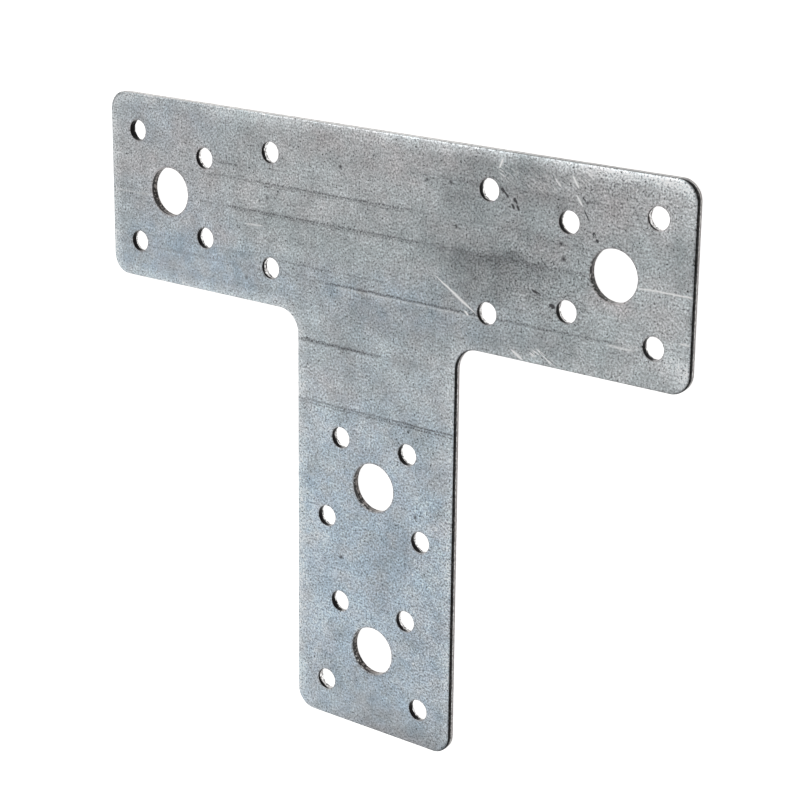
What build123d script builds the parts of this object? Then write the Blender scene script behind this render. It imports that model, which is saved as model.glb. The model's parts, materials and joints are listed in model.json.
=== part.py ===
from build123d import *
from math import atan2, degrees
import os

# A flat T plate bracket, blanked and pierced from galvanised steel sheet.
# It lies on its back face: the back is at Z = 0 and the front face looks up.
# The crossbar runs along X, the stem runs from its middle towards -Y, and the origin
# is on the back face, where the centre lines of the crossbar and the stem cross.
# All sizes are in millimetres.

# Blank
crossbar_length = 162.0
crossbar_width = 45.0
stem_width = 45.0
overall_height = 143.5  # from the crossbar's free long edge to the stem's end
thickness = 2.0
corner_radius = 4.6
inner_radius = 5.5  # where the stem runs into the crossbar

# Sheared edge all round the blank
edge_roll = 0.35  # the front edge, drawn over by the die
edge_burnished_depth = 1.2  # from the front face down to where the metal broke away
edge_break_inset = 0.08  # how far the torn zone draws in by the back face
back_edge_bevel = 0.12  # the back edge, with its burr knocked off

# Pierced holes
nail_hole_diameter = 5.0
bolt_hole_diameter = 11.5
bolt_mouth_roll = 0.22  # the rounded mouth on the front face
nail_mouth_bevel = 0.15
hole_burnished_depth = 1.1  # from the front face down to where the metal broke away
hole_break_clearance = 0.1  # how much wider, on the radius, the torn zone gets at the back

# Rows of holes along each arm, measured from the arm's end
arm_end_pair = 8.8
arm_bolt_hole = 18.9
arm_middle_pair = 30.1
arm_last_pair = 50.4

# Rows of holes along the stem, measured from the stem's end
stem_end_pair = 9.0
stem_lower_bolt_hole = 20.0
stem_lower_middle_pair = 30.1
stem_upper_end_pair = 50.5
stem_upper_bolt_hole = 60.5
stem_upper_middle_pair = 70.6

# Distance between the two holes of a pair, across the strip
wide_pair_spread = 27.2
narrow_pair_spread = 19.2

arm_end_x = crossbar_length / 2
crossbar_edge_y = crossbar_width / 2
stem_end_y = crossbar_edge_y - overall_height
cut_margin = 1.0  # how far a cutting tool stands out of each face
same_place = 0.001


def is_inner_corner(vertex):
    beside_stem = abs(abs(vertex.X) - stem_width / 2) < same_place
    under_crossbar = abs(vertex.Y + crossbar_edge_y) < same_place
    return beside_stem and under_crossbar


def make_outline():
    stem_middle_y = (crossbar_edge_y + stem_end_y) / 2
    crossbar = Rectangle(crossbar_length, crossbar_width)
    stem = Pos(0, stem_middle_y) * Rectangle(stem_width, overall_height)
    outline = crossbar + stem
    inner_corners = outline.vertices().filter_by(is_inner_corner)
    outline = fillet(inner_corners, inner_radius)
    arm_ends = outline.vertices().group_by(Axis.X)
    stem_end = outline.vertices().group_by(Axis.Y)[0]
    outer_corners = arm_ends[0] + arm_ends[-1] + stem_end
    return fillet(outer_corners, corner_radius)


def make_blank():
    """The blank with a sheared edge: rolled over, a straight land, then a torn taper."""
    torn_height = thickness - edge_burnished_depth
    torn_angle = degrees(atan2(edge_break_inset, torn_height))
    outline = Pos(0, 0, torn_height) * make_outline()
    land = extrude(outline, amount=edge_burnished_depth)
    torn_zone = extrude(outline, torn_height, dir=(0, 0, -1), taper=torn_angle)
    blank = land + torn_zone
    front_edges = blank.faces().sort_by(Axis.Z)[-1].edges()
    blank = fillet(front_edges, edge_roll)
    back_edges = blank.faces().sort_by(Axis.Z)[0].edges()
    return chamfer(back_edges, back_edge_bevel)


def rolled_mouth(radius):
    """A curve that leaves the front face level and runs down into the hole's wall."""
    outside = (radius + bolt_mouth_roll, thickness)
    inside = (radius, thickness - bolt_mouth_roll)
    return Bezier(outside, (radius, thickness), inside)


def bevelled_mouth(radius):
    outside = (radius + nail_mouth_bevel, thickness)
    inside = (radius, thickness - nail_mouth_bevel)
    return Line(outside, inside)


def make_piercing(diameter, make_mouth):
    """The space one punch leaves: the mouth, a straight land, then a torn taper."""
    radius = diameter / 2
    mouth = make_mouth(radius)
    mouth_radius = (mouth @ 0).X
    land_end_z = thickness - hole_burnished_depth
    back_radius = radius + hole_break_clearance
    top_z = thickness + cut_margin
    bottom_z = -cut_margin
    wall = Polyline(
        mouth @ 1,
        (radius, land_end_z),
        (back_radius, 0),
        (back_radius, bottom_z),
        (0, bottom_z),
        (0, top_z),
        (mouth_radius, top_z),
        mouth @ 0,
    )
    profile = make_face(Plane.XZ * (wall + mouth))
    return revolve(profile, Axis.Z)


def mirrored_rows(row_from_end, spread):
    """Four places: a pair across each arm, the same distance from both ends."""
    return GridLocations(2 * (arm_end_x - row_from_end), spread, 2, 2)


def stem_pair(row_from_end, spread):
    row = Pos(0, stem_end_y + row_from_end)
    return [row * place for place in GridLocations(spread, 0, 2, 1)]


def nail_hole_places():
    places = []
    places += mirrored_rows(arm_end_pair, wide_pair_spread)
    places += mirrored_rows(arm_middle_pair, narrow_pair_spread)
    places += mirrored_rows(arm_last_pair, wide_pair_spread)
    places += stem_pair(stem_end_pair, wide_pair_spread)
    places += stem_pair(stem_lower_middle_pair, narrow_pair_spread)
    places += stem_pair(stem_upper_end_pair, wide_pair_spread)
    places += stem_pair(stem_upper_middle_pair, narrow_pair_spread)
    return places


def bolt_hole_places():
    arm_x = arm_end_x - arm_bolt_hole
    return [
        Pos(-arm_x, 0),
        Pos(arm_x, 0),
        Pos(0, stem_end_y + stem_lower_bolt_hole),
        Pos(0, stem_end_y + stem_upper_bolt_hole),
    ]


def make_plate():
    nail_piercing = make_piercing(nail_hole_diameter, bevelled_mouth)
    bolt_piercing = make_piercing(bolt_hole_diameter, rolled_mouth)
    piercings = [place * nail_piercing for place in nail_hole_places()]
    piercings += [place * bolt_piercing for place in bolt_hole_places()]
    return make_blank() - piercings


os.makedirs("parts", exist_ok=True)
export_step(make_plate(), "parts/t_plate.step")
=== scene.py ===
import bpy
import json
import math
from mathutils import Matrix, Vector, noise
from mathutils.geometry import delaunay_2d_cdt


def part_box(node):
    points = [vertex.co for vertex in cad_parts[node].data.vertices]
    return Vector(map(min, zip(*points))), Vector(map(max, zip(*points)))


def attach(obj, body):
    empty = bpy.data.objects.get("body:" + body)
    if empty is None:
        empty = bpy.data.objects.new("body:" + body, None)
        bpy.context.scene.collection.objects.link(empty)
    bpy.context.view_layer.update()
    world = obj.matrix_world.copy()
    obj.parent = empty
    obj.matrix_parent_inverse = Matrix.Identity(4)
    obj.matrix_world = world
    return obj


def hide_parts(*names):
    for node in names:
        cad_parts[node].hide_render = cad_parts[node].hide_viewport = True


# A flat T plate bracket of galvanised steel, lying on its back with the front face up.
# Sizes are in millimetres, and become metres when a mesh, a lamp or the camera is placed.
mm = 0.001

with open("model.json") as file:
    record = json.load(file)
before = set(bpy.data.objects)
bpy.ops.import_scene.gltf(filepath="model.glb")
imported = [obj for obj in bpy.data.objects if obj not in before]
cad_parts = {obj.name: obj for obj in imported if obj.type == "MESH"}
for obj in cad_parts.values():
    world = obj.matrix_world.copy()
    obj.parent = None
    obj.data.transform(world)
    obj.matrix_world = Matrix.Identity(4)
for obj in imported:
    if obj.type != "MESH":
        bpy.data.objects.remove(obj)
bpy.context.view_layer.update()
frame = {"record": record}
boxLow, boxHigh = (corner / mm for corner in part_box("t_plate"))


# The plate's mesh

plate = {
    "name": "galvanisedPlate",
    "stripWidth": 45.0,  # crossbar and stem alike
    "cornerRadius": 4.6,
    "innerRadius": 5.5,
    "edgeStep": 0.45,  # between points along the sheared edge
    "cornerStep": 0.3,  # between points round its corners
    "faceStep": 5.0,  # between points inside the flat faces
    "faceMargin": 3.6,  # how far those points stay away from the outline and the holes
    "nailHolePoints": 56,
    "boltHolePoints": 112,
    "boltHoleRadiusFrom": 4.0,  # a hole wider than this is a bolt hole
    "samePlace": 1.0,  # two hole centres nearer than this are the same
    "weldDistance": 1e-5,
    "fillKind": 1,  # a fill that stays within the outermost edges
    "sharpAngle": 32.0,  # degrees; edges sharper than this aren't smoothed
}

# How the shears and the punches left the metal, from the front face down to the back.
# The rim is darker than the face where rimShade is above nought, as painted shade, and lighter
# below it, as a painted highlight. This painted light and shade fades out over shadeWidth of the
# flat face. The walls that face +X, and those on the far side (+Y) and the near side (-Y), get a
# black painted shade.
shearedEdge = {
    "rollWidth": 0.95,
    "rollDepth": 0.3,
    "landDepth": 1.0,  # from the front face down to where the metal tore
    "landWaver": 0.1,
    "tornInset": 0.07,  # how far the torn band draws in by the back face
    "tornRoughness": 0.05,
    "backBevel": 0.08,
    "shadeWidth": 2.2,
    "rimShade": -1.5,
    "landShade": 1.0,
    "tornShade": 0.0,
    "flecks": 0.1,  # how far bare flecks show through the painted shade
    "farSideShade": 0.3,
    "farRollShade": 0.5,  # the same on the rolled rim
    "farStart": 0.0,  # the x where the far edge's painted light and shade start
    "farLightAndShade": 0.55,
    "nearSideShade": 0.8,
    "nearStart": 20.0,  # the same for the near edge, towards the stem's end and the right arm
    "tornDullness": 0.05,
    "backShade": 0.85,
}
holeWall = {
    "farStart": -1000.0,  # left of the whole plate, so the far side of every hole gets painted shade
    "farLightAndShade": 0.0,
    "nearSideShade": 0.0,
    "nearStart": 0.0,
}
nailHoleWall = {
    **holeWall,
    "rollWidth": 0.1,
    "rollDepth": 0.1,
    "landDepth": 1.12,
    "landWaver": 0.3,
    "tornInset": 0.12,
    "tornRoughness": 0.12,
    "backBevel": 0.05,
    "shadeWidth": 0.35,
    "rimShade": 0.8,
    "landShade": 1.0,
    "tornShade": 0.34,
    "flecks": 0.0,
    "farSideShade": 0.9,
    "farRollShade": 0.9,
    "tornDullness": 0.0,
    "backShade": 0.0,
}
boltHoleWall = {
    **holeWall,
    "rollWidth": 0.09,
    "rollDepth": 0.1,
    "landDepth": 0.6,
    "landWaver": 0.2,
    "tornInset": 0.12,
    "tornRoughness": 0.04,
    "backBevel": 0.06,
    "shadeWidth": 0.45,
    "rimShade": 1.1,
    "landShade": 0.9,
    "tornShade": 0.45,
    "flecks": 0.9,
    "farSideShade": 0.8,
    "farRollShade": 0.8,
    "tornDullness": 0.9,
    "backShade": 1.0,
}
wallPaints = {
    "farReach": 60.0,  # over these lengths the far and the near edge's painted shade grows from none to full
    "nearReach": 85.0,
    "nearSlant": 0.9,  # how much a step towards the stem's end counts, against one along the arm
    "nearLoss": 1.7,  # how much of the rim's painted highlight is lost on the near, the right and the far side
    "rightLoss": 0.3,
    "farLoss": 0.5,
    "steepReach": 0.36,  # the outermost strip of the far rim, in painted shade
    "steepShade": 3.6,
    "crestInset": 0.75,  # the painted highlight on the crest behind it
    "crestReach": 0.45,
    "crestLight": 4.6,
    "shadeGain": 1.6,  # how quickly a wall's painted shade deepens as it turns to face +X
    "shadeStart": 0.1,
}
landWaves = ((3.0, 2.2, 1.0), (9.0, 0.6, 0.7))  # noise level, grain size, share
tearWaves = ((4.0, 0.7, 0.5), (9.0, 0.35, 0.35))  # noise levels per millimetre, grain size, share
meanTear = 0.5
rollSteps = 6
landSteps = 2
tornSteps = 5
lastRollRow = rollSteps + 1
tornRow = lastRollRow + landSteps + 1  # the first row of a wall that lies in the torn band
backRow = tornRow + 1  # the rows from here on are duller

# Holes whose rubbed land isn't as deep as the others': centre, then how many times as deep
landVariations = [
    ((-72.2, 13.6), 1.4),
    ((-50.9, -9.6), 1.15),
    ((-30.6, 13.6), 0.85),
    ((-30.6, -13.6), 0.45),
    ((30.6, 13.6), 0.85),
    ((30.6, -13.6), 0.75),
    ((50.9, 9.6), 1.15),
    ((50.9, -9.6), 0.8),
    ((72.2, 13.6), 0.45),
    ((72.2, -13.6), 1.1),
    ((-13.6, -112.0), 0.55),
    ((13.6, -112.0), 1.15),
    ((62.1, 0.0), 1.5),
    ((-62.1, 0.0), 0.85),
]

faceSlot, landSlot, tornSlot = range(3)
paintedLabels = ("rim", "paintedShade", "flecks", "dullnessAndShade")


# Every hole as its centre and radius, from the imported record's mounts
def readHoles():
    holes = []
    for mount in frame["record"]["mounts"]:
        centre = Vector(mount["pos_m"][:2]) / mm
        sizes = mount["dims"]
        if mount["kind"] == "bore":
            holes.append((centre, sizes["r_mm"]))
        if mount["kind"] == "bolt_pattern":
            for sideX in (-0.5, 0.5):
                for sideY in (-0.5, 0.5):
                    step = Vector((sideX * sizes["spacing_x_mm"], sideY * sizes["spacing_y_mm"]))
                    holes.append((centre + step, sizes["hole_r_mm"]))
    return holes


# The T's eight corners, anticlockwise, each with the radius of its rounding
def outlineCorners():
    half = plate["stripWidth"] / 2
    under = boxHigh.y - plate["stripWidth"]
    outer = plate["cornerRadius"]
    inner = plate["innerRadius"]
    return [
        (Vector((boxHigh.x, boxHigh.y)), outer),
        (Vector((boxLow.x, boxHigh.y)), outer),
        (Vector((boxLow.x, under)), outer),
        (Vector((-half, under)), inner),
        (Vector((-half, boxLow.y)), outer),
        (Vector((half, boxLow.y)), outer),
        (Vector((half, under)), inner),
        (Vector((boxHigh.x, under)), outer),
    ]


# Points round the blank, each with the way out of the metal there
def outlinePath():
    corners = outlineCorners()
    path = []
    lastEnd = None
    for index in range(len(corners) + 1):
        before = corners[index - 1][0]
        corner, radius = corners[index % len(corners)]
        after = corners[(index + 1) % len(corners)][0]
        arriving = (corner - before).normalized()
        leaving = (after - corner).normalized()
        side = 1 if arriving.cross(leaving) > 0 else -1
        arcStart = corner - arriving * radius
        centre = arcStart + leaving * radius
        if lastEnd is not None:
            wayOut = Vector((arriving.y, -arriving.x))
            pieces = round((arcStart - lastEnd).length / plate["edgeStep"])
            for piece in range(1, pieces):
                path.append((lastEnd.lerp(arcStart, piece / pieces), wayOut))
        lastEnd = corner + leaving * radius
        if index == len(corners):
            break
        arcPieces = round(radius * math.pi / 2 / plate["cornerStep"])
        for piece in range(arcPieces + 1):
            angle = math.pi / 2 * piece / arcPieces
            spoke = arriving * math.sin(angle) - leaving * math.cos(angle)
            path.append((centre + spoke * radius, spoke * side))
    return path


# Points round a hole, clockwise, so that the metal stays on the left
def holePath(centre, radius):
    count = plate["nailHolePoints"]
    if radius > plate["boltHoleRadiusFrom"]:
        count = plate["boltHolePoints"]
    path = []
    for step in range(count):
        angle = -2 * math.pi * step / count
        spoke = Vector((math.cos(angle), math.sin(angle)))
        path.append((centre + spoke * radius, -spoke))
    return path


# A steady random value from -1 to 1, with grains of about that size
def roughness(point, height, size):
    return noise.noise(Vector((point.x, point.y, height)) / size)


# The sheared wall's section at one point: how far into the metal, and how high
def wallRows(cut, thickness, point, landShare):
    rows = [(cut["rollWidth"] + cut["shadeWidth"], thickness)]
    for step in range(rollSteps + 1):
        angle = math.pi / 2 * step / rollSteps
        inset = cut["rollWidth"] * (1 - math.sin(angle))
        height = thickness - cut["rollDepth"] * (1 - math.cos(angle))
        rows.append((inset, height))
    rollEnd = thickness - cut["rollDepth"]
    waver = sum(share * roughness(point, level, size) for level, size, share in landWaves)
    landEnd = thickness - cut["landDepth"] * landShare + cut["landWaver"] * waver
    for step in range(1, landSteps + 1):
        rows.append((0.0, rollEnd + (landEnd - rollEnd) * step / landSteps))
    for step in range(1, tornSteps + 1):
        depth = step / tornSteps
        height = landEnd + (cut["backBevel"] - landEnd) * depth
        tear = meanTear
        for levels, size, share in tearWaves:
            tear += share * roughness(point, height * levels, size)
        rows.append((cut["tornInset"] * depth + cut["tornRoughness"] * tear, height))
    rows.append((rows[-1][0] + cut["backBevel"], 0.0))
    return rows


def clamped(value):
    return min(max(value, 0.0), 1.0)


# What is painted on one point of a wall: painted light and shade on the rim, painted shade on
# the wall, flecks, and dullness
def wallPaint(cut, row, inset, point, wayOut):
    far = max(wayOut.y, 0.0) * clamped((point.x - cut["farStart"]) / wallPaints["farReach"])
    nearPlace = point.x - wallPaints["nearSlant"] * point.y - cut["nearStart"]
    near = max(-wayOut.y, 0.0) * clamped(nearPlace / wallPaints["nearReach"])
    rim = cut["rimShade"] * (1 - inset / (cut["rollWidth"] + cut["shadeWidth"]))
    rim *= 1 - wallPaints["nearLoss"] * near * cut["nearSideShade"]
    rightLoss = wallPaints["rightLoss"] * max(wayOut.x, 0.0)
    rim *= 1 - rightLoss - wallPaints["farLoss"] * far * cut["farLightAndShade"]
    # On the far rim: painted shade on the outermost strip, and a painted highlight on the crest
    # behind it
    steep = math.exp(-(inset / wallPaints["steepReach"]) ** 2)
    crest = math.exp(-((inset - wallPaints["crestInset"]) / wallPaints["crestReach"]) ** 2)
    shade = wallPaints["steepShade"] * steep - wallPaints["crestLight"] * crest
    rim += far * cut["farLightAndShade"] * shade
    farSideShade = cut["farRollShade"] if row <= lastRollRow else cut["farSideShade"]
    # The walls get a black painted shade, more so the more they face +X, the far side and the near
    # side
    facing = wayOut.x * wallPaints["shadeGain"] + far * farSideShade + near * cut["nearSideShade"]
    facing = clamped(facing - wallPaints["shadeStart"])
    paintedShade = facing * (cut["landShade"] if row < tornRow else cut["tornShade"])
    # tornDullness greys the torn band; the back rows and the walls facing the far side are greyed as
    # painted shade
    dullnessAndShade = cut["tornDullness"] if row < backRow else cut["backShade"]
    dullnessAndShade = max(dullnessAndShade, clamped(far - wayOut.x) * cut["farLightAndShade"])
    return {"rim": rim, "paintedShade": paintedShade, "flecks": cut["flecks"], "dullnessAndShade": dullnessAndShade}


# The finish of each band between two rows of a wall; the roll's steep end is rubbed like the land
def wallSlots():
    zincBands = rollSteps - 1
    rubbedBands = landSteps + 2
    return [faceSlot] * zincBands + [landSlot] * rubbedBands + [tornSlot] * (tornSteps + 1)


def addPoint(build, place, paint):
    build["vertices"].append(place)
    for label in paintedLabels:
        build[label].append(paint.get(label, 0.0))


# Adds one closed sheared wall and gives its front and back rings
def addWall(build, path, cut, thickness, landShare=1.0):
    first = len(build["vertices"])
    rowCount = 0
    for point, wayOut in path:
        rows = wallRows(cut, thickness, point, landShare)
        rowCount = len(rows)
        for row, (inset, height) in enumerate(rows):
            place = point - wayOut * inset
            paint = wallPaint(cut, row, inset, point, wayOut)
            addPoint(build, (place.x, place.y, height), paint)
    slots = wallSlots()
    for column in range(len(path)):
        here = first + column * rowCount
        there = first + (column + 1) % len(path) * rowCount
        for row in range(rowCount - 1):
            build["faces"].append((here + row, here + row + 1, there + row + 1, there + row))
            build["slots"].append(slots[row])
    frontRing = [first + column * rowCount for column in range(len(path))]
    backRing = [corner + rowCount - 1 for corner in frontRing]
    return frontRing, backRing


# How deep this hole's rubbed land goes, against the others
def landShareAt(centre):
    for place, share in landVariations:
        if (centre - Vector(place)).length < plate["samePlace"]:
            return share
    return 1.0


# True well inside the T and clear of its holes
def isInside(point, holes, margin):
    half = plate["stripWidth"] / 2 - margin
    inCrossbar = abs(point.x) < boxHigh.x - margin and abs(point.y) < half
    inStem = abs(point.x) < half and boxLow.y + margin < point.y < 0
    clear = all((point - centre).length > radius + margin for centre, radius in holes)
    return (inCrossbar or inStem) and clear


# A loose grid of points that keeps the flat faces' triangles well shaped
def innerPoints(holes):
    step = plate["faceStep"]
    points = []
    for column in range(int((boxHigh.x - boxLow.x) / step) + 1):
        for row in range(int((boxHigh.y - boxLow.y) / step) + 1):
            point = Vector((boxLow.x + column * step, boxLow.y + row * step))
            if isInside(point, holes, plate["faceMargin"]):
                points.append(point)
    return points


# True where a level line from the point crosses the ring an odd number of times
def isInRing(build, ring, point):
    inside = False
    last = build["vertices"][ring[-1]]
    for corner in ring:
        here = build["vertices"][corner]
        if (here[1] > point.y) != (last[1] > point.y):
            share = (point.y - here[1]) / (last[1] - here[1])
            if point.x < here[0] + share * (last[0] - here[0]):
                inside = not inside
        last = here
    return inside


# Fills the space between the outline's ring and the holes' rings
def addFlatFace(build, rings, holes, height, facesUp):
    members = [corner for ring in rings for corner in ring]
    points = [Vector(build["vertices"][corner][:2]) for corner in members]
    edges = []
    start = 0
    for ring in rings:
        count = len(ring)
        edges += [(start + step, start + (step + 1) % count) for step in range(count)]
        start += count
    for point in innerPoints(holes):
        members.append(len(build["vertices"]))
        points.append(point)
        addPoint(build, (point.x, point.y, height), {})
    filled = delaunay_2d_cdt(points, edges, [], plate["fillKind"], plate["weldDistance"])
    triangles, sources = filled[2:4]
    for triangle in triangles:
        corners = [members[sources[corner][0]] for corner in triangle]
        places = [Vector(build["vertices"][corner][:2]) for corner in corners]
        middle = sum(places, Vector((0, 0))) / 3
        if any(isInRing(build, ring, middle) for ring in rings[1:]):
            continue
        build["faces"].append(tuple(corners if facesUp else reversed(corners)))
        build["slots"].append(faceSlot)


def addObject(name, data):
    piece = bpy.data.objects.new(name, data)
    bpy.context.scene.collection.objects.link(piece)
    return piece


def makePlate(materials):
    thickness = boxHigh.z - boxLow.z
    holes = readHoles()
    build = {"vertices": [], "faces": [], "slots": []}
    for label in paintedLabels:
        build[label] = []
    rings = [addWall(build, outlinePath(), shearedEdge, thickness)]
    for centre, radius in holes:
        cut = boltHoleWall if radius > plate["boltHoleRadiusFrom"] else nailHoleWall
        path = holePath(centre, radius)
        rings.append(addWall(build, path, cut, thickness, landShareAt(centre)))
    addFlatFace(build, [front for front, _ in rings], holes, thickness, True)
    addFlatFace(build, [back for _, back in rings], holes, 0.0, False)

    mesh = bpy.data.meshes.new(plate["name"])
    vertices = [Vector(vertex) * mm for vertex in build["vertices"]]
    mesh.from_pydata(vertices, [], build["faces"])
    for label in paintedLabels:
        painted = mesh.attributes.new(label, "FLOAT", "POINT")
        painted.data.foreach_set("value", build[label])
    for material in materials:
        mesh.materials.append(material)
    mesh.polygons.foreach_set("material_index", build["slots"])
    mesh.shade_smooth()
    mesh.set_sharp_from_angle(angle=math.radians(plate["sharpAngle"]))
    mesh.validate()
    mesh.update()
    return addObject(plate["name"], mesh)


# Small helpers for shader nodes

# Links a socket, or sets a plain value
def feed(tree, source, target):
    if isinstance(source, bpy.types.NodeSocket):
        tree.links.new(source, target)
    else:
        target.default_value = source


def calc(tree, operation, first, second=0.0, clamp=False):
    node = tree.nodes.new("ShaderNodeMath")
    node.operation = operation
    node.use_clamp = clamp
    feed(tree, first, node.inputs[0])
    feed(tree, second, node.inputs[1])
    return node.outputs[0]


def times(tree, first, second):
    return calc(tree, "MULTIPLY", first, second)


def plus(tree, first, second):
    return calc(tree, "ADD", first, second)


def minus(tree, first, second):
    return calc(tree, "SUBTRACT", first, second)


def larger(tree, first, second):
    return calc(tree, "MAXIMUM", first, second)


def vectorCalc(tree, operation, first, second=(0, 0, 0), output=0):
    node = tree.nodes.new("ShaderNodeVectorMath")
    node.operation = operation
    feed(tree, first, node.inputs[0])
    feed(tree, second, node.inputs[1])
    return node.outputs[output]


def noiseValue(tree, place, scale, detail=2.0, rough=0.5):
    node = tree.nodes.new("ShaderNodeTexNoise")
    feed(tree, place, node.inputs["Vector"])
    feed(tree, scale, node.inputs["Scale"])
    feed(tree, detail, node.inputs["Detail"])
    feed(tree, rough, node.inputs["Roughness"])
    return node.outputs["Fac"]


def fade(tree, value, fromLow, fromHigh, toLow=0.0, toHigh=1.0):
    node = tree.nodes.new("ShaderNodeMapRange")
    node.interpolation_type = "SMOOTHSTEP"
    sources = (value, fromLow, fromHigh, toLow, toHigh)
    for socket, source in zip(node.inputs[:5], sources):
        feed(tree, source, socket)
    return node.outputs[0]


# A noise made into a mask, by the two entries whose names start with the label
def noiseMask(tree, place, values, label):
    return fade(tree, noiseValue(tree, place, *values[label + "Noise"]), *values[label + "Fade"])


def mixColours(tree, share, first, second, blend="MIX"):
    node = tree.nodes.new("ShaderNodeMix")
    node.data_type = "RGBA"
    node.blend_type = blend
    node.clamp_factor = True  # sockets 6 and 7 are the node's two colours
    feed(tree, share, node.inputs[0])
    feed(tree, first, node.inputs[6])
    feed(tree, second, node.inputs[7])
    return node.outputs[2]


def scaledVector(tree, vector, factor):
    node = tree.nodes.new("ShaderNodeVectorMath")
    node.operation = "SCALE"
    feed(tree, vector, node.inputs[0])
    feed(tree, factor, node.inputs["Scale"])
    return node.outputs[0]


def axesOf(tree, vector):
    node = tree.nodes.new("ShaderNodeSeparateXYZ")
    tree.links.new(vector, node.inputs[0])
    return node.outputs


def joinedAxes(tree, x, y, z=0.0):
    node = tree.nodes.new("ShaderNodeCombineXYZ")
    for socket, source in zip(node.inputs, (x, y, z)):
        feed(tree, source, socket)
    return node.outputs[0]


# Starts a node group and gives it with its own input and output sockets
def newGroup(name, vectors, values, results):
    group = bpy.data.node_groups.new(name, "ShaderNodeTree")
    for label in vectors:
        group.interface.new_socket(label, in_out="INPUT", socket_type="NodeSocketVector")
    for label in values:
        group.interface.new_socket(label, in_out="INPUT", socket_type="NodeSocketFloat")
    for label in results:
        group.interface.new_socket(label, in_out="OUTPUT", socket_type="NodeSocketFloat")
    entry = group.nodes.new("NodeGroupInput")
    finish = group.nodes.new("NodeGroupOutput")
    return group, entry.outputs, finish.inputs


def useGroup(tree, group, values):
    node = tree.nodes.new("ShaderNodeGroup")
    node.node_tree = group
    for label, value in values.items():
        feed(tree, value, node.inputs[label])
    return node.outputs


# The surface point in the plate's own millimetres, so that marks are set in real sizes
def placeInMillimetres(tree):
    coordinates = tree.nodes.new("ShaderNodeTexCoord")
    return scaledVector(tree, coordinates.outputs["Object"], 1 / mm)


# A value painted on the mesh when it was built
def paintedValue(tree, label):
    node = tree.nodes.new("ShaderNodeAttribute")
    node.attribute_name = label
    return node.outputs["Fac"]


# The finish. A noise is its grains per millimetre, its detail and its roughness, and a fade runs
# from its first value to its second.

noiseMiddle = 0.5  # what a noise gives on average

zincGrain = {
    "fineDetail": 2.0,
    "fineRoughness": 0.62,
    "speckShift": (37.0, 11.0, 5.0),
    "speckDensity": 1.15,  # against the fine grain's
    "speckDetail": 1.0,
    "speckFade": (0.36, 0.26),
    "pepperNoise": (1.15, 1.0, 0.5),
    "pepperFade": (0.3, 0.22),
    "pepperShare": 0.5,
}


# Fine zinc grain: a brightness factor about 1 and a height
def grainGroup():
    group, given, result = newGroup(
        "zincGrain", ["Place"], ["Density", "Contrast", "Specks"], ["Factor", "Height"]
    )
    place, density = given["Place"], given["Density"]
    fine = noiseValue(group, place, density, zincGrain["fineDetail"], zincGrain["fineRoughness"])
    swing = minus(group, fine, noiseMiddle)
    swing = times(group, swing, given["Contrast"])
    speckPlace = vectorCalc(group, "ADD", place, zincGrain["speckShift"])
    speckDensity = times(group, density, zincGrain["speckDensity"])
    specks = noiseValue(group, speckPlace, speckDensity, zincGrain["speckDetail"])
    specks = fade(group, specks, *zincGrain["speckFade"])
    pepper = noiseMask(group, place, zincGrain, "pepper")
    pepper = times(group, pepper, zincGrain["pepperShare"])
    specks = larger(group, specks, pepper)
    darker = times(group, specks, given["Specks"])
    factor = minus(group, plus(group, swing, 1.0), darker)
    group.links.new(factor, result["Factor"])
    group.links.new(minus(group, fine, specks), result["Height"])
    return group


zincClouds = {
    "broadNoise": (0.07, 3.0, 0.6),
    "closeNoise": (0.3, 4.0, 0.75),
    "closeShift": (9.0, 71.0, 3.0),
    "warmNoise": (0.14, 3.0, 0.65),
    "warmShift": (-50.0, 23.0, 17.0),
    "warmFade": (0.3, 0.75),
}


# Clouds in the coating: a brightness factor about 1 and a mask of warmer areas
def mottleGroup():
    group, given, result = newGroup("zincMottle", ["Place"], ["Contrast"], ["Factor", "Warmth"])
    place = given["Place"]
    broad = noiseValue(group, place, *zincClouds["broadNoise"])
    closePlace = vectorCalc(group, "ADD", place, zincClouds["closeShift"])
    close = noiseValue(group, closePlace, *zincClouds["closeNoise"])
    broad = minus(group, broad, noiseMiddle)
    close = minus(group, close, noiseMiddle)
    clouds = times(group, plus(group, broad, close), given["Contrast"])
    group.links.new(plus(group, clouds, 1.0), result["Factor"])
    warmPlace = vectorCalc(group, "ADD", place, zincClouds["warmShift"])
    group.links.new(noiseMask(group, warmPlace, zincClouds, "warm"), result["Warmth"])
    return group


markShapes = {
    "lineBreakNoise": (2.3, 2.0, 0.6),
    "lineBreakFade": (0.44, 0.55),
    "scratchTaper": (0.52, 0.2),  # distance from its middle, as a share of the scratch's length
    "patchFade": (1.0, 0.1),  # distance from its middle, as a share of the patch's reach
    "strokeAlong": (0.26, -0.16, 0.0),
    "strokeAcross": (1.3, 2.2, 0.0),  # the longer direction is the one with the finer change
    "strokeNoise": (1.2, 2.0, 0.65),
    "strokeFade": (0.52, 0.58),
}


# A mark that the mill's rolls left, straight along the crossbar at one level
def rollingLineGroup():
    numbers = ["Level", "Width", "Breaks"]
    group, given, result = newGroup("rollingLine", ["Place"], numbers, ["Mask"])
    place = given["Place"]
    distance = minus(group, axesOf(group, place)["Y"], given["Level"])
    line = fade(group, calc(group, "ABSOLUTE", distance), given["Width"], 0.0)
    whole = noiseMask(group, place, markShapes, "lineBreak")
    missing = times(group, given["Breaks"], minus(group, 1.0, whole))
    kept = minus(group, 1.0, missing)
    group.links.new(times(group, line, kept), result["Mask"])
    return group


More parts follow.
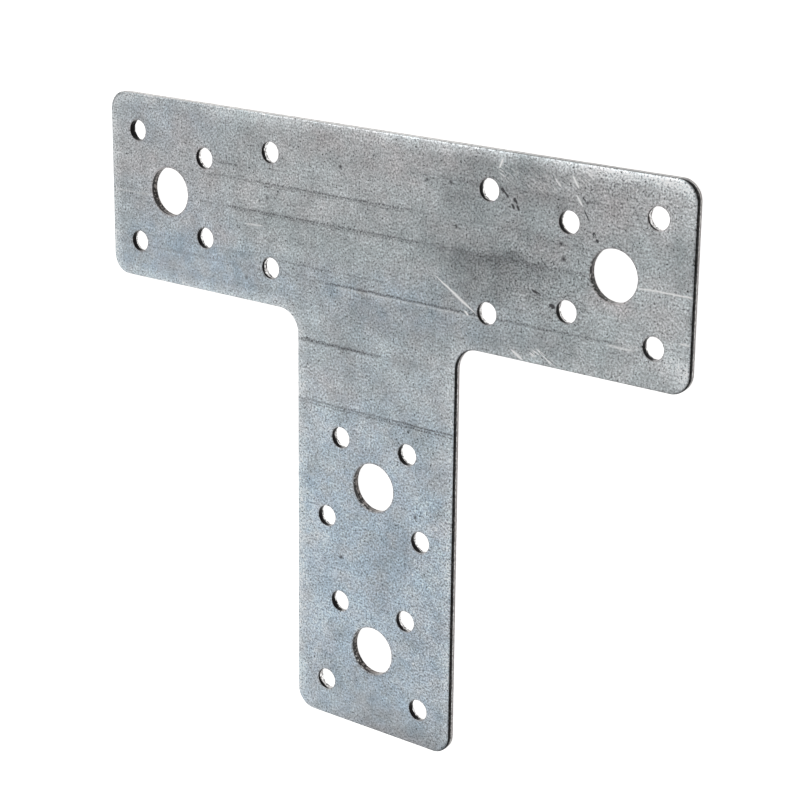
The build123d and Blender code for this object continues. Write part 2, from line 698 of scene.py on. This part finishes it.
# A straight mark between two points, thinner towards its ends
def scratchGroup():
    group, given, result = newGroup("scratch", ["Place", "Start", "End"], ["Width"], ["Mask"])
    run = vectorCalc(group, "SUBTRACT", given["End"], given["Start"])
    offset = vectorCalc(group, "SUBTRACT", given["Place"], given["Start"])
    reached = vectorCalc(group, "DOT_PRODUCT", offset, run, output="Value")
    whole = vectorCalc(group, "DOT_PRODUCT", run, run, output="Value")
    along = calc(group, "DIVIDE", reached, whole, clamp=True)
    nearest = scaledVector(group, run, along)
    distance = vectorCalc(group, "DISTANCE", offset, nearest, output="Value")
    fromMiddle = calc(group, "ABSOLUTE", minus(group, along, 0.5))
    taper = fade(group, fromMiddle, *markShapes["scratchTaper"])
    width = times(group, given["Width"], taper)
    group.links.new(fade(group, distance, width, 0.0), result["Mask"])
    return group


# A soft oval area, full in the middle and gone at its rim
def patchGroup():
    group, given, result = newGroup("softPatch", ["Place", "Middle", "Reach"], [], ["Mask"])
    offset = vectorCalc(group, "SUBTRACT", given["Place"], given["Middle"])
    scaled = vectorCalc(group, "DIVIDE", offset, given["Reach"])
    distance = vectorCalc(group, "LENGTH", scaled, output="Value")
    group.links.new(fade(group, distance, *markShapes["patchFade"]), result["Mask"])
    return group


# Many fine rubbed strokes that run down to the right
def scuffGroup():
    group, given, result = newGroup("scuffs", ["Place"], [], ["Mask"])
    place = given["Place"]
    along = vectorCalc(group, "DOT_PRODUCT", place, markShapes["strokeAlong"], output="Value")
    across = vectorCalc(group, "DOT_PRODUCT", place, markShapes["strokeAcross"], output="Value")
    turned = joinedAxes(group, along, across)
    group.links.new(noiseMask(group, turned, markShapes, "stroke"), result["Mask"])
    return group


zincFace = {
    "name": "galvanisedFace",
    "coolColour": (0.475, 0.575, 0.665, 1),
    "neutralColour": (0.540, 0.590, 0.607, 1),
    "warmColour": (0.625, 0.585, 0.590, 1),
    "darkLineColour": (0.09, 0.09, 0.095, 1),
    "brightColour": (1.0, 1.0, 1.0, 1),
    "metallic": 0.9,
    "roughness": 0.34,
    "grain": {"Density": 2.1, "Contrast": 2.7, "Specks": 1.3},  # density is grains per millimetre
    "mottleContrast": 0.8,
    "mottleWarmth": 0.35,
    "patchWarmth": 0.45,
    "blueNoise": (0.2, 3.0, 0.6),
    "blueFade": (0.3, 0.7, 0.5, 1.4),  # the noise's values, then how blue they make the face
    "rimShade": 0.25,
    "rimGreyness": 0.4,  # how much of its blue a rim loses
    "lineWander": (0.5, 0.3),  # millimetres, and wanders per millimetre
    "patchWander": (9.0, 0.12),
    "chipNoise": (1.5, 2.0, 0.6),  # breaks in the nicks and spots
    "chipFade": (0.33, 0.45),
    "nickFade": (0.12, 0.4),
    "brightestScuff": 0.9,
    "backLevel": -40.0,  # the depth at which the back face's grain is looked up
    "bump": 0.35,
    "bumpDepth": 0.02,
}

# Broad lighter and darker areas, partly the coating's own tone and partly painted light and shade:
# middle, reach, then how much lighter or darker
shadedPatches = [
    # the left arm
    ((-56, 14), (44, 14), -0.07),
    ((-68, -17), (20, 9), -0.08),
    # a painted highlight along the left end
    ((-80, 0), (6, 30), 0.08),
    ((-30, 1), (16, 9), -0.11),
    ((-77, 17), (7, 8), 0.13),
    ((-77, -16), (6, 9), 0.10),
    ((-60, 18), (12, 6), 0.09),
    ((-35, -4), (8, 10), -0.07),
    # the middle
    ((0, -3), (34, 9), -0.13),
    ((-4, 8), (34, 11), -0.08),
    ((-5, 17), (32, 8), -0.10),
    ((0, -20), (28, 8), -0.07),
    ((22, 2), (14, 20), -0.24),
    ((14, -13), (12, 8), -0.12),
    ((-8, -12), (14, 8), -0.07),
    ((12, 16), (8, 8), -0.10),
    ((4, -8), (8, 5), -0.08),
    ((-17, -14), (9, 5), -0.06),
    ((-19, 6), (8, 7), -0.08),
    ((20, -15), (7, 6), -0.10),
    # the right arm
    ((37, -5), (30, 13), -0.39),
    ((36, -1.2), (24, 2.2), -0.16),
    ((46, 4.6), (18, 2.0), -0.10),
    ((25, -19), (50, 7), -0.12),
    ((66, 19), (22, 7), -0.04),
    ((75, -3), (14, 16), 0.03),
    ((48, -18), (22, 8), -0.07),
    # a painted highlight at the top right corner
    ((79, 19), (5, 7), 0.10),
    ((42, 20.5), (20, 5), -0.14),
    ((74, 20.5), (12, 5), 0.04),
    ((45, 17), (12, 4), 0.06),
    # painted shade along the right arm's end
    ((82, -3), (6, 18), -0.36),
    ((40, 15), (30, 14), -0.30),
    ((27, 19), (12, 7), -0.14),
    ((66, 10), (18, 10), -0.13),
    ((78, 6), (9, 8), -0.21),
    ((44, 5), (20, 5), -0.12),
    ((33, -19), (12, 5), -0.12),
    ((77, -18), (9, 9), 0.18),
    ((68, -6), (8, 8), 0.15),
    ((45, 15), (9, 5), -0.11),
    ((28, -7), (6, 5), 0.14),
    ((52, 3), (7, 5), -0.08),
    # the stem
    ((0, -28), (26, 4), -0.08),
    ((0, -80), (46, 56), 0.12),
    ((-17, -85), (10, 44), 0.18),
    ((2, -78), (14, 14), -0.14),
    ((-19, -103), (5, 5), -0.10),
    ((-11, -100), (4, 3), -0.07),
    ((14.5, -95), (5, 4), -0.06),
    ((12, -46), (6, 4), -0.06),
    ((4, -118), (26, 7), -0.18),
    ((18, -84), (9, 30), 0.10),
    ((-18, -104), (7, 14), 0.08),
    ((0, -28), (9, 8), 0.09),
    ((-15, -45), (12, 14), 0.12),
    ((18, -50), (6, 6), 0.10),
    ((2, -61), (16, 7), -0.08),
    ((-11, -83), (9, 14), -0.11),
    ((19, -74), (7, 10), -0.12),
    ((-21, -112), (6, 8), 0.14),
    ((-19, -58), (6, 8), 0.10),
    ((18, -38), (6, 6), -0.09),
    ((-9, -98), (6, 6), -0.08),
    ((8, -97), (5, 6), 0.08),
]

# Where the coating is bluer than it is grey
bluePatches = [
    ((0, -85), (70, 80), 1.0),
    ((-58, -17), (40, 18), 0.9),
    ((-62, 17), (30, 14), 0.45),
    ((-62, -2), (30, 12), 0.4),
    ((0, -16), (60, 12), 0.5),
]

# Where the grain is finer than elsewhere, below nought where it is coarser
calmPatches = [
    ((-58, -17), (34, 14), 0.3),
    ((0, -116), (24, 8), 0.3),
    ((66, 19), (24, 8), -0.35),
    ((42, -4), (24, 14), -0.35),
    ((0, -80), (40, 50), -0.12),
    ((18, -84), (10, 40), -0.25),
]

# Brown and pink tints
warmPatches = [
    ((47, 3.5), (8, 4), 0.6),
    ((12, 11), (9, 4), 0.5),
    ((35, 13), (10, 4), 0.5),
    ((62, -7), (8, 4), 0.8),
    ((-46, -8.5), (7, 4), 0.6),
    ((18.5, -65.5), (6, 5), 0.7),
    ((-10, 6), (40, 12), 0.4),
    ((-62, 6), (34, 22), 0.8),
    ((-2, 18), (46, 9), 0.8),
    ((62, 16), (30, 11), 0.9),
    ((72, -8), (16, 16), 0.4),
    ((-14, -38), (12, 8), 0.5),
]

# Lines from the mill: level, width and brokenness, then how dark each is along the crossbar, as
# pairs of x and strength
rollingLines = [
    (6.2, 0.48, 0.90, [
        (-72, 0.0), (-70, 0.2), (-55, 0.2), (-47, 0.4), (-33, 0.9), (8, 0.9), (12, 0.25),
        (54, 0.4), (56, 0.0),
    ]),
    (5.6, 0.36, 1.00, [(-34, 0.0), (-32, 0.6), (7, 0.6), (9, 0.0)]),
    (-0.7, 0.46, 0.90, [
        (-80, 0.3), (-68, 0.3), (-56, 0.25), (-44, 0.4), (-42, 0.9), (10, 0.9), (14, 0.35),
        (22, 0.6), (55, 0.6), (57, 0.0),
    ]),
    (-1.2, 0.38, 1.00, [
        (-44, 0.0), (-42, 0.6), (10, 0.6), (12, 0.0), (20, 0.5), (55, 0.5), (57, 0.0),
    ]),
    (-11.4, 0.44, 1.00, [
        (-72, 0.25), (-32, 0.25), (-29, 0.55), (2, 0.55), (4, 0.0), (18, 0.4), (28, 0.4),
        (30, 0.0), (38, 0.4), (47, 0.4), (48, 0.0),
    ]),
    (-14.3, 0.58, 0.80, [
        (-70, 0.3), (-33, 0.3), (-14, 0.2), (-12, 0.9), (28, 0.9), (30, 0.3), (34, 0.7),
        (62, 0.6), (64, 0.2), (71, 0.0),
    ]),
    (14.6, 0.64, 1.00, [(10, 0.0), (11, 0.4), (28, 0.4), (33, 0.3), (65, 0.3), (66, 0.0)]),
    (-28.8, 0.72, 0.70, [
        (-22, 0.6), (-20, 0.95), (-6, 0.95), (0, 0.7), (3, 0.3), (8, 0.2), (9, 0.0),
    ]),
    (-43.1, 0.48, 0.80, [(-22, 0.7), (5, 0.8), (7, 0.95), (22, 0.95)]),
    (-43.8, 0.44, 0.90, [(-22, 0.6), (5, 0.7), (7, 0.9), (22, 0.9)]),
    (9.3, 0.64, 1.00, [(-47, 0.0), (-46, 0.6), (-41, 0.6), (-40, 0.0)]),
]

# Bright lines along the crossbar, painted highlights on the lower side of mill lines, in the same
# form
brightLines = [
    (-1.45, 0.36, 0.2, [(67, 0.0), (69, 1.0), (81, 1.0)]),
    (-14.9, 0.45, 0.4, [
        (-12, 0.0), (-10, 0.3), (26, 0.3), (30, 0.0), (61, 0.0), (62, 0.7), (67, 0.7), (68, 0.0),
    ]),
    (-1.7, 0.45, 0.4, [(-80, 0.35), (-68, 0.35), (-66, 0.0)]),
]

# Bright scratches: start, end, width, strength
scratches = [
    ((16, -7), (28.5, -14.5), 0.41, 1.0),
    ((20, -9.5), (27, -13.6), 0.57, 1.0),
    ((24.5, -13.8), (26, -14.8), 0.47, 1.0),
    ((37, -20.3), (40.5, -22.3), 0.61, 1.0),
    ((-39, -4.2), (-32, -3.8), 0.41, 0.6),
    ((33, 18.5), (34.2, 21), 0.47, 1.0),
    ((51.2, 19.8), (53.2, 16.8), 0.45, 1.0),
    ((52.5, 15.8), (54.2, 13.2), 0.45, 0.9),
    ((47.0, 18.6), (49.0, 16.6), 0.4, 0.8),
    ((78, -11.5), (81, -11.4), 0.41, 0.8),
    ((-35, 1), (-34, 2.5), 0.41, 0.6),
]

# Where the face is scuffed light
scuffedPatches = [
    ((46, 17.5), (11, 5), 0.42),
    ((57, 20.5), (10, 3), 0.55),
    ((45.5, -21), (5, 1.8), 1.3),
    ((34, 19), (4, 4), 0.6),
    ((70, 17), (12, 6), 0.3),
    ((66.5, -14.6), (2.5, 1.2), 0.9),
]

# Dark nicks, in the same form as the scratches
nicks = [
    ((36.9, 13.0), (37.9, 11.5), 0.6, 1.0),
    ((36.5, 11.6), (37.2, 10.3), 0.45, 1.0),
    ((37.8, 11.4), (38.4, 10.2), 0.5, 0.9),
    ((33.6, 14.6), (34.5, 13.6), 0.6, 1.0),
    ((34.2, 14.0), (35.8, 12.6), 0.4, 0.8),
    ((54.3, 13.0), (55.9, 10.3), 0.4, 0.4),
    ((54.0, 15.4), (54.9, 14.6), 0.4, 0.5),
    ((56.8, 8.4), (57.4, 7.5), 0.55, 1.0),
    ((57.6, 7.2), (58.3, 6.4), 0.5, 1.0),
    ((42.0, -6.2), (44.6, -7.2), 0.5, 0.8),
    ((46.4, -8.6), (48.2, -9.4), 0.8, 0.7),
]

# Dark spots and white dots: middle, radius, strength
darkSpots = [
    ((-9.9, 13.2), 0.77, 1.0),
    ((14.2, 13.6), 0.70, 0.9),
    ((20.6, 13.8), 0.70, 0.9),
    ((22.1, 4.4), 0.70, 1.0),
    ((49.1, 4.7), 0.84, 1.0),
    ((49.8, 1.6), 0.84, 1.0),
    ((55.3, 14.3), 0.70, 0.9),
    ((12.2, -64.7), 0.84, 0.9),
    ((-9.3, -79.8), 0.84, 0.9),
    ((-31.5, 2.8), 0.84, 0.7),
    ((-34, 1.8), 0.70, 0.7),
    ((-32.4, -15.5), 0.84, 0.7),
    ((-38, -17), 0.84, 0.7),
]
whiteDots = [
    ((-51.5, 21.3), 0.5, 0.9),
    ((-78, 15.3), 0.4, 0.7),
]


# A value that follows the given strengths from one end of the crossbar to the other
def strengthAlong(tree, place, stops):
    length = boxHigh.x - boxLow.x
    fromLeft = minus(tree, axesOf(tree, place)["X"], boxLow.x)
    node = tree.nodes.new("ShaderNodeValToRGB")
    tree.links.new(calc(tree, "DIVIDE", fromLeft, length), node.inputs["Fac"])
    elements = node.color_ramp.elements
    while len(elements) < len(stops):
        elements.new(0.5)
    for element, (x, strength) in zip(elements, stops):
        element.position = (x - boxLow.x) / length
        element.color = (strength, strength, strength, 1)
    return node.outputs["Color"]


def lineMask(tree, place, group, lines):
    mask = 0.0
    for level, width, breaks, stops in lines:
        values = {"Place": place, "Level": level, "Width": width, "Breaks": breaks}
        line = useGroup(tree, group, values)["Mask"]
        line = times(tree, line, strengthAlong(tree, place, stops))
        mask = larger(tree, line, mask)
    return mask


def scratchMask(tree, place, group, marks):
    mask = 0.0
    for start, end, width, strength in marks:
        values = {"Place": place, "Start": (*start, 0), "End": (*end, 0), "Width": width}
        mark = useGroup(tree, group, values)["Mask"]
        mask = larger(tree, times(tree, mark, strength), mask)
    return mask


def patchSum(tree, place, group, patches):
    total = 0.0
    for middle, reach, amount in patches:
        values = {"Place": place, "Middle": (*middle, 0), "Reach": (*reach, 1)}
        patch = useGroup(tree, group, values)["Mask"]
        total = plus(tree, times(tree, patch, amount), total)
    return total


def dotSum(tree, place, group, dots):
    patches = [(middle, (radius, radius), amount) for middle, radius, amount in dots]
    return patchSum(tree, place, group, patches)


def newMaterial(finish):
    material = bpy.data.materials.new(finish["name"])
    material.use_nodes = True
    shader = material.node_tree.nodes["Principled BSDF"]
    shader.inputs["Metallic"].default_value = finish["metallic"]
    shader.inputs["Roughness"].default_value = finish["roughness"]
    return material, material.node_tree, shader


# Fine relief from a height, as deep as the finish says
def addBump(tree, shader, height, finish):
    bump = tree.nodes.new("ShaderNodeBump")
    bump.inputs["Strength"].default_value = finish["bump"]
    bump.inputs["Distance"].default_value = finish["bumpDepth"] * mm
    tree.links.new(height, bump.inputs["Height"])
    tree.links.new(bump.outputs["Normal"], shader.inputs["Normal"])


# The same point at one level, so that marks don't change with depth. The back face's level is
# out of reach of the front's marks, and its grain differs.
def flattened(tree, place):
    axes = axesOf(tree, place)
    onBack = calc(tree, "LESS_THAN", axes["Z"], (boxLow.z + boxHigh.z) / 2)
    level = times(tree, onBack, zincFace["backLevel"])
    return joinedAxes(tree, axes["X"], axes["Y"], level)


# The place, pushed about a little, which keeps drawn edges from looking ruled
def wandering(tree, place, amount, scale):
    node = tree.nodes.new("ShaderNodeTexNoise")
    feed(tree, place, node.inputs["Vector"])
    node.inputs["Scale"].default_value = scale
    node.inputs["Detail"].default_value = 2.0
    push = vectorCalc(tree, "SUBTRACT", node.outputs["Color"], [noiseMiddle] * 3)
    sized = vectorCalc(tree, "MULTIPLY", push, (amount, amount, 0))
    return vectorCalc(tree, "ADD", place, sized)


# Grey zinc with bluer and warmer areas, and rims that are less blue; where the holes' rims carry
# painted shade they are warmer too
def zincColour(tree, patch, onFace, blurred, rim, warmth):
    blue = patchSum(tree, blurred, patch, bluePatches)
    blue = times(tree, blue, noiseMask(tree, onFace, zincFace, "blue"))
    greyer = times(tree, calc(tree, "ABSOLUTE", rim), zincFace["rimGreyness"])
    blue = times(tree, blue, calc(tree, "SUBTRACT", 1.0, greyer, clamp=True))
    warm = patchSum(tree, blurred, patch, warmPatches)
    warm = plus(tree, warm, larger(tree, rim, 0.0))
    warm = times(tree, warm, zincFace["patchWarmth"])
    warmth = times(tree, warmth, zincFace["mottleWarmth"])
    colour = mixColours(tree, blue, zincFace["neutralColour"], zincFace["coolColour"])
    return mixColours(tree, plus(tree, warmth, warm), colour, zincFace["warmColour"])


# How light the zinc is from place to place, about 1, with painted light and shade in the broad
# patches and on the rims
def zincShade(tree, patch, blurred, rim, grainFactor, mottleFactor):
    shade = plus(tree, patchSum(tree, blurred, patch, shadedPatches), 1.0)
    calm = minus(tree, 1.0, patchSum(tree, blurred, patch, calmPatches))
    swing = times(tree, minus(tree, grainFactor, 1.0), calm)
    shade = times(tree, shade, plus(tree, swing, 1.0))
    shade = times(tree, shade, mottleFactor)
    # the rim paint darkens the face as painted shade where it is above nought, and lightens it as a
    # painted highlight below
    rimShade = times(tree, rim, zincFace["rimShade"])
    return times(tree, shade, minus(tree, 1.0, rimShade))


# Mill lines, nicks and spots
def darkMask(tree, groups, onFace, drawn):
    chipped = noiseMask(tree, onFace, zincFace, "chip")
    torn = scratchMask(tree, drawn, groups["scratch"], nicks)
    torn = fade(tree, times(tree, torn, chipped), *zincFace["nickFade"])
    spots = dotSum(tree, drawn, groups["patch"], darkSpots)
    spots = times(tree, spots, chipped)
    dark = larger(tree, lineMask(tree, drawn, groups["line"], rollingLines), torn)
    return larger(tree, dark, spots)


# Bright lines, which are painted highlights, then scratches, dots and scuffs
def brightMask(tree, groups, onFace, drawn, blurred):
    bright = lineMask(tree, drawn, groups["line"], brightLines)
    cuts = scratchMask(tree, drawn, groups["scratch"], scratches)
    bright = larger(tree, bright, cuts)
    dots = dotSum(tree, drawn, groups["patch"], whiteDots)
    bright = larger(tree, bright, dots)
    scuffs = useGroup(tree, groups["scuffs"], {"Place": onFace})["Mask"]
    rubbed = patchSum(tree, blurred, groups["patch"], scuffedPatches)
    scuffs = times(tree, scuffs, rubbed)
    scuffs = calc(tree, "MINIMUM", scuffs, zincFace["brightestScuff"])
    return larger(tree, bright, scuffs)


def makeZincFace(groups):
    material, tree, shader = newMaterial(zincFace)
    onFace = flattened(tree, placeInMillimetres(tree))
    drawn = wandering(tree, onFace, *zincFace["lineWander"])
    blurred = wandering(tree, onFace, *zincFace["patchWander"])
    # the rims' painted light and shade
    rim = paintedValue(tree, "rim")
    grain = useGroup(tree, groups["grain"], {"Place": onFace, **zincFace["grain"]})
    values = {"Place": onFace, "Contrast": zincFace["mottleContrast"]}
    mottle = useGroup(tree, groups["mottle"], values)

    patch = groups["patch"]
    colour = zincColour(tree, patch, onFace, blurred, rim, mottle["Warmth"])
    shade = zincShade(tree, patch, blurred, rim, grain["Factor"], mottle["Factor"])
    colour = mixColours(tree, 1.0, colour, shade, "MULTIPLY")
    dark = darkMask(tree, groups, onFace, drawn)
    colour = mixColours(tree, dark, colour, zincFace["darkLineColour"])
    bright = brightMask(tree, groups, onFace, drawn, blurred)
    colour = mixColours(tree, bright, colour, zincFace["brightColour"])
    tree.links.new(colour, shader.inputs["Base Color"])
    addBump(tree, shader, grain["Height"], zincFace)
    return material


burnishedWall = {
    "name": "burnishedWall",
    "colour": (0.58, 0.58, 0.57, 1),
    "streakColour": (0.40, 0.39, 0.38, 1),
    "paintedShadeColour": (0.005, 0.0045, 0.0045, 1),
    "metallic": 0.95,
    "roughness": 0.35,
    "gloss": 0.05,
    "streakStretch": (1, 1, 0.12),
    "streakNoise": (3.0, 3.0, 0.6),
    "streakFade": (0.4, 0.62),
    "fleckNoise": (1.2, 2.0, 0.6),
    "fleckFade": (0.54, 0.64),
}


# The smooth band that the blade rubbed, streaked across the sheet's thickness, and blackened by
# the painted shade, which bare flecks break
def makeBurnishedWall():
    finish = burnishedWall
    material, tree, shader = newMaterial(finish)
    place = placeInMillimetres(tree)
    stretched = vectorCalc(tree, "MULTIPLY", place, finish["streakStretch"])
    streaks = noiseMask(tree, stretched, finish, "streak")
    colour = mixColours(tree, streaks, finish["colour"], finish["streakColour"])
    flecks = noiseMask(tree, place, finish, "fleck")
    bared = times(tree, flecks, paintedValue(tree, "flecks"))
    paintedShade = times(tree, paintedValue(tree, "paintedShade"), minus(tree, 1.0, bared))
    colour = mixColours(tree, paintedShade, colour, finish["paintedShadeColour"])
    tree.links.new(colour, shader.inputs["Base Color"])
    # where the painted shade lies, the metal loses its shine too
    clean = calc(tree, "SUBTRACT", 1.0, paintedShade, clamp=True)
    metal = times(tree, clean, finish["metallic"])
    tree.links.new(metal, shader.inputs["Metallic"])
    shader.inputs["Specular IOR Level"].default_value = finish["gloss"]
    return material


tornWall = {
    "name": "tornWall",
    "colour": (0.97, 0.97, 0.96, 1),
    "pitColour": (0.42, 0.40, 0.395, 1),
    "dullAndShadedColour": (0.19, 0.17, 0.162, 1),
    "paintedShadeColour": (0.02, 0.018, 0.017, 1),
    "metallic": 0.95,
    "roughness": 0.4,
    "grain": {"Density": 2.4, "Contrast": 1.6, "Specks": 0.8},
    "pitNoise": (2.0, 2.0, 0.5),
    "pitFade": (0.42, 0.6),
    "shadeNoise": (1.6, 2.0, 0.5),
    "shadeShare": 0.9,  # how much of the band full painted shade covers, and how much no painted shade covers
    "leastShade": 0.1,
    "shadeFade": (0.05, -0.05),
    "bump": 0.6,
    "bumpDepth": 0.05,
}


# The grainy band where the metal broke, greyed by its dullness, and by painted shade on the back
# rows and on walls facing the far side
def makeTornWall(groups):
    finish = tornWall
    material, tree, shader = newMaterial(finish)
    place = placeInMillimetres(tree)
    grain = useGroup(tree, groups["grain"], {"Place": place, **finish["grain"]})
    pits = noiseMask(tree, place, finish, "pit")
    colour = mixColours(tree, pits, finish["pitColour"], finish["colour"])
    colour = mixColours(tree, paintedValue(tree, "dullnessAndShade"), colour, finish["dullAndShadedColour"])
    # patches of painted shade, spread over more of the band where the painted value is higher
    reach = times(tree, paintedValue(tree, "paintedShade"), finish["shadeShare"])
    reach = plus(tree, reach, finish["leastShade"])
    paintedShade = minus(tree, noiseValue(tree, place, *finish["shadeNoise"]), reach)
    paintedShade = fade(tree, paintedShade, *finish["shadeFade"])
    colour = mixColours(tree, paintedShade, colour, finish["paintedShadeColour"])
    colour = mixColours(tree, 1.0, colour, grain["Factor"], "MULTIPLY")
    tree.links.new(colour, shader.inputs["Base Color"])
    addBump(tree, shader, grain["Height"], finish)
    return material


# Floor, light and camera

white = (1, 1, 1, 1)

paleFloor = {
    "name": "paleFloor",
    "size": 6000.0,
    "drop": 0.03,  # how far it lies under the back face, so that the two never share a plane
    "colour": (0.86, 0.86, 0.86, 1),
    "glow": 0.95,
    "metallic": 0.0,
    "roughness": 0.8,
}

studio = {
    "leftLight": 0.11,  # the dim light all round, on the left and on the right
    "rightLight": 0.06,
    "sideFade": (-0.35, 0.35),
    "lowLight": 0.4,  # added where the light comes from lower than about 30 degrees
    "lowFade": (0.5, 0.2),
    "backdropLight": 0.95,
    "softboxDistance": 900.0,
}

# Where each softbox stands, as a direction from the plate, its sides and its watts
softboxes = {
    "frontSoftbox": {"from": (-0.62, -0.45, 0.64), "size": (850.0, 800.0), "power": 1.39},
    "overheadSoftbox": {"from": (0.06, -0.33, 0.94), "size": (620.0, 350.0), "power": 0.5},
    "cornerSoftbox": {"from": (-0.33, 0.03, 0.94), "size": (300.0, 300.0), "power": 0.36},
    "rimSoftbox": {"from": (-0.48, 0.40, 0.78), "size": (400.0, 400.0), "power": 1.2},
    "farStrip": {"from": (-0.58, 0.77, 0.30), "size": (900.0, 260.0), "power": 0.6},
}

camera = {
    "place": (290.93, 112.77, 373.73),
    "looking": (-0.58387, -0.27162, -0.76506),
    "pictureUp": (-0.17356, 0.96235, -0.20921),
    "lens": 98.56,
    "sensor": 36.0,
    "shiftY": -0.1,
    "nearClip": 10.0,
    "farClip": 20000.0,
}


def makeFloor():
    half = paleFloor["size"] / 2 * mm
    level = -paleFloor["drop"] * mm
    mesh = bpy.data.meshes.new(paleFloor["name"])
    corners = [(-half, -half, level), (half, -half, level), (half, half, level), (-half, half, level)]
    mesh.from_pydata(corners, [], [(0, 1, 2, 3)])
    material, _, shader = newMaterial(paleFloor)
    shader.inputs["Base Color"].default_value = paleFloor["colour"]
    shader.inputs["Emission Color"].default_value = white
    shader.inputs["Emission Strength"].default_value = paleFloor["glow"]
    mesh.materials.append(material)
    floor = addObject(paleFloor["name"], mesh)


def makeSoftbox(name, box):
    lamp = bpy.data.lights.new(name, "AREA")
    lamp.shape = "RECTANGLE"
    lamp.size, lamp.size_y = (side * mm for side in box["size"])
    lamp.energy = box["power"]
    holder = addObject(name, lamp)
    direction = Vector(box["from"]).normalized()
    holder.location = direction * studio["softboxDistance"] * mm
    holder.rotation_euler = direction.to_track_quat("Z", "Y").to_euler()


def addBackground(tree, strength):
    node = tree.nodes.new("ShaderNodeBackground")
    node.inputs["Color"].default_value = white
    feed(tree, strength, node.inputs["Strength"])
    return node.outputs[0]


# Dim light all round, and a pale backdrop where the camera sees past the floor
def makeWorld():
    world = bpy.data.worlds.new("studio")
    bpy.context.scene.world = world
    world.use_nodes = True
    tree = world.node_tree
    tree.nodes.clear()
    coordinates = tree.nodes.new("ShaderNodeTexCoord")
    axes = axesOf(tree, coordinates.outputs["Generated"])
    lights = (studio["leftLight"], studio["rightLight"])
    side = fade(tree, axes["X"], *studio["sideFade"], *lights)
    low = fade(tree, axes["Z"], *studio["lowFade"])
    glow = times(tree, low, studio["lowLight"])
    fill = addBackground(tree, plus(tree, side, glow))
    backdrop = addBackground(tree, studio["backdropLight"])
    path = tree.nodes.new("ShaderNodeLightPath")
    choice = tree.nodes.new("ShaderNodeMixShader")
    output = tree.nodes.new("ShaderNodeOutputWorld")
    tree.links.new(path.outputs["Is Camera Ray"], choice.inputs[0])
    tree.links.new(fill, choice.inputs[1])
    tree.links.new(backdrop, choice.inputs[2])
    tree.links.new(choice.outputs[0], output.inputs["Surface"])


def makeCamera():
    data = bpy.data.cameras.new("photoView")
    data.lens = camera["lens"]
    data.sensor_width = camera["sensor"]
    data.shift_y = camera["shiftY"]
    data.clip_start = camera["nearClip"] * mm
    data.clip_end = camera["farClip"] * mm
    back = -Vector(camera["looking"]).normalized()
    right = Vector(camera["pictureUp"]).cross(back).normalized()
    up = back.cross(right)
    turn = Matrix((right, up, back)).transposed().to_4x4()
    holder = addObject("photoView", data)
    holder.matrix_world = Matrix.Translation(Vector(camera["place"]) * mm) @ turn
    bpy.context.scene.camera = holder


groups = {
    "grain": grainGroup(),
    "mottle": mottleGroup(),
    "line": rollingLineGroup(),
    "scratch": scratchGroup(),
    "scuffs": scuffGroup(),
    "patch": patchGroup(),
}
finishes = [makeZincFace(groups), makeBurnishedWall(), makeTornWall(groups)]
print("finishes made")

galvanisedPlate = makePlate(finishes)
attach(galvanisedPlate, "root")
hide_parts("t_plate")
print("plate made:", len(galvanisedPlate.data.polygons), "faces")

makeFloor()
for name, box in softboxes.items():
    makeSoftbox(name, box)
makeWorld()
makeCamera()
bpy.context.scene.view_settings.view_transform = "Standard"
print("studio made")
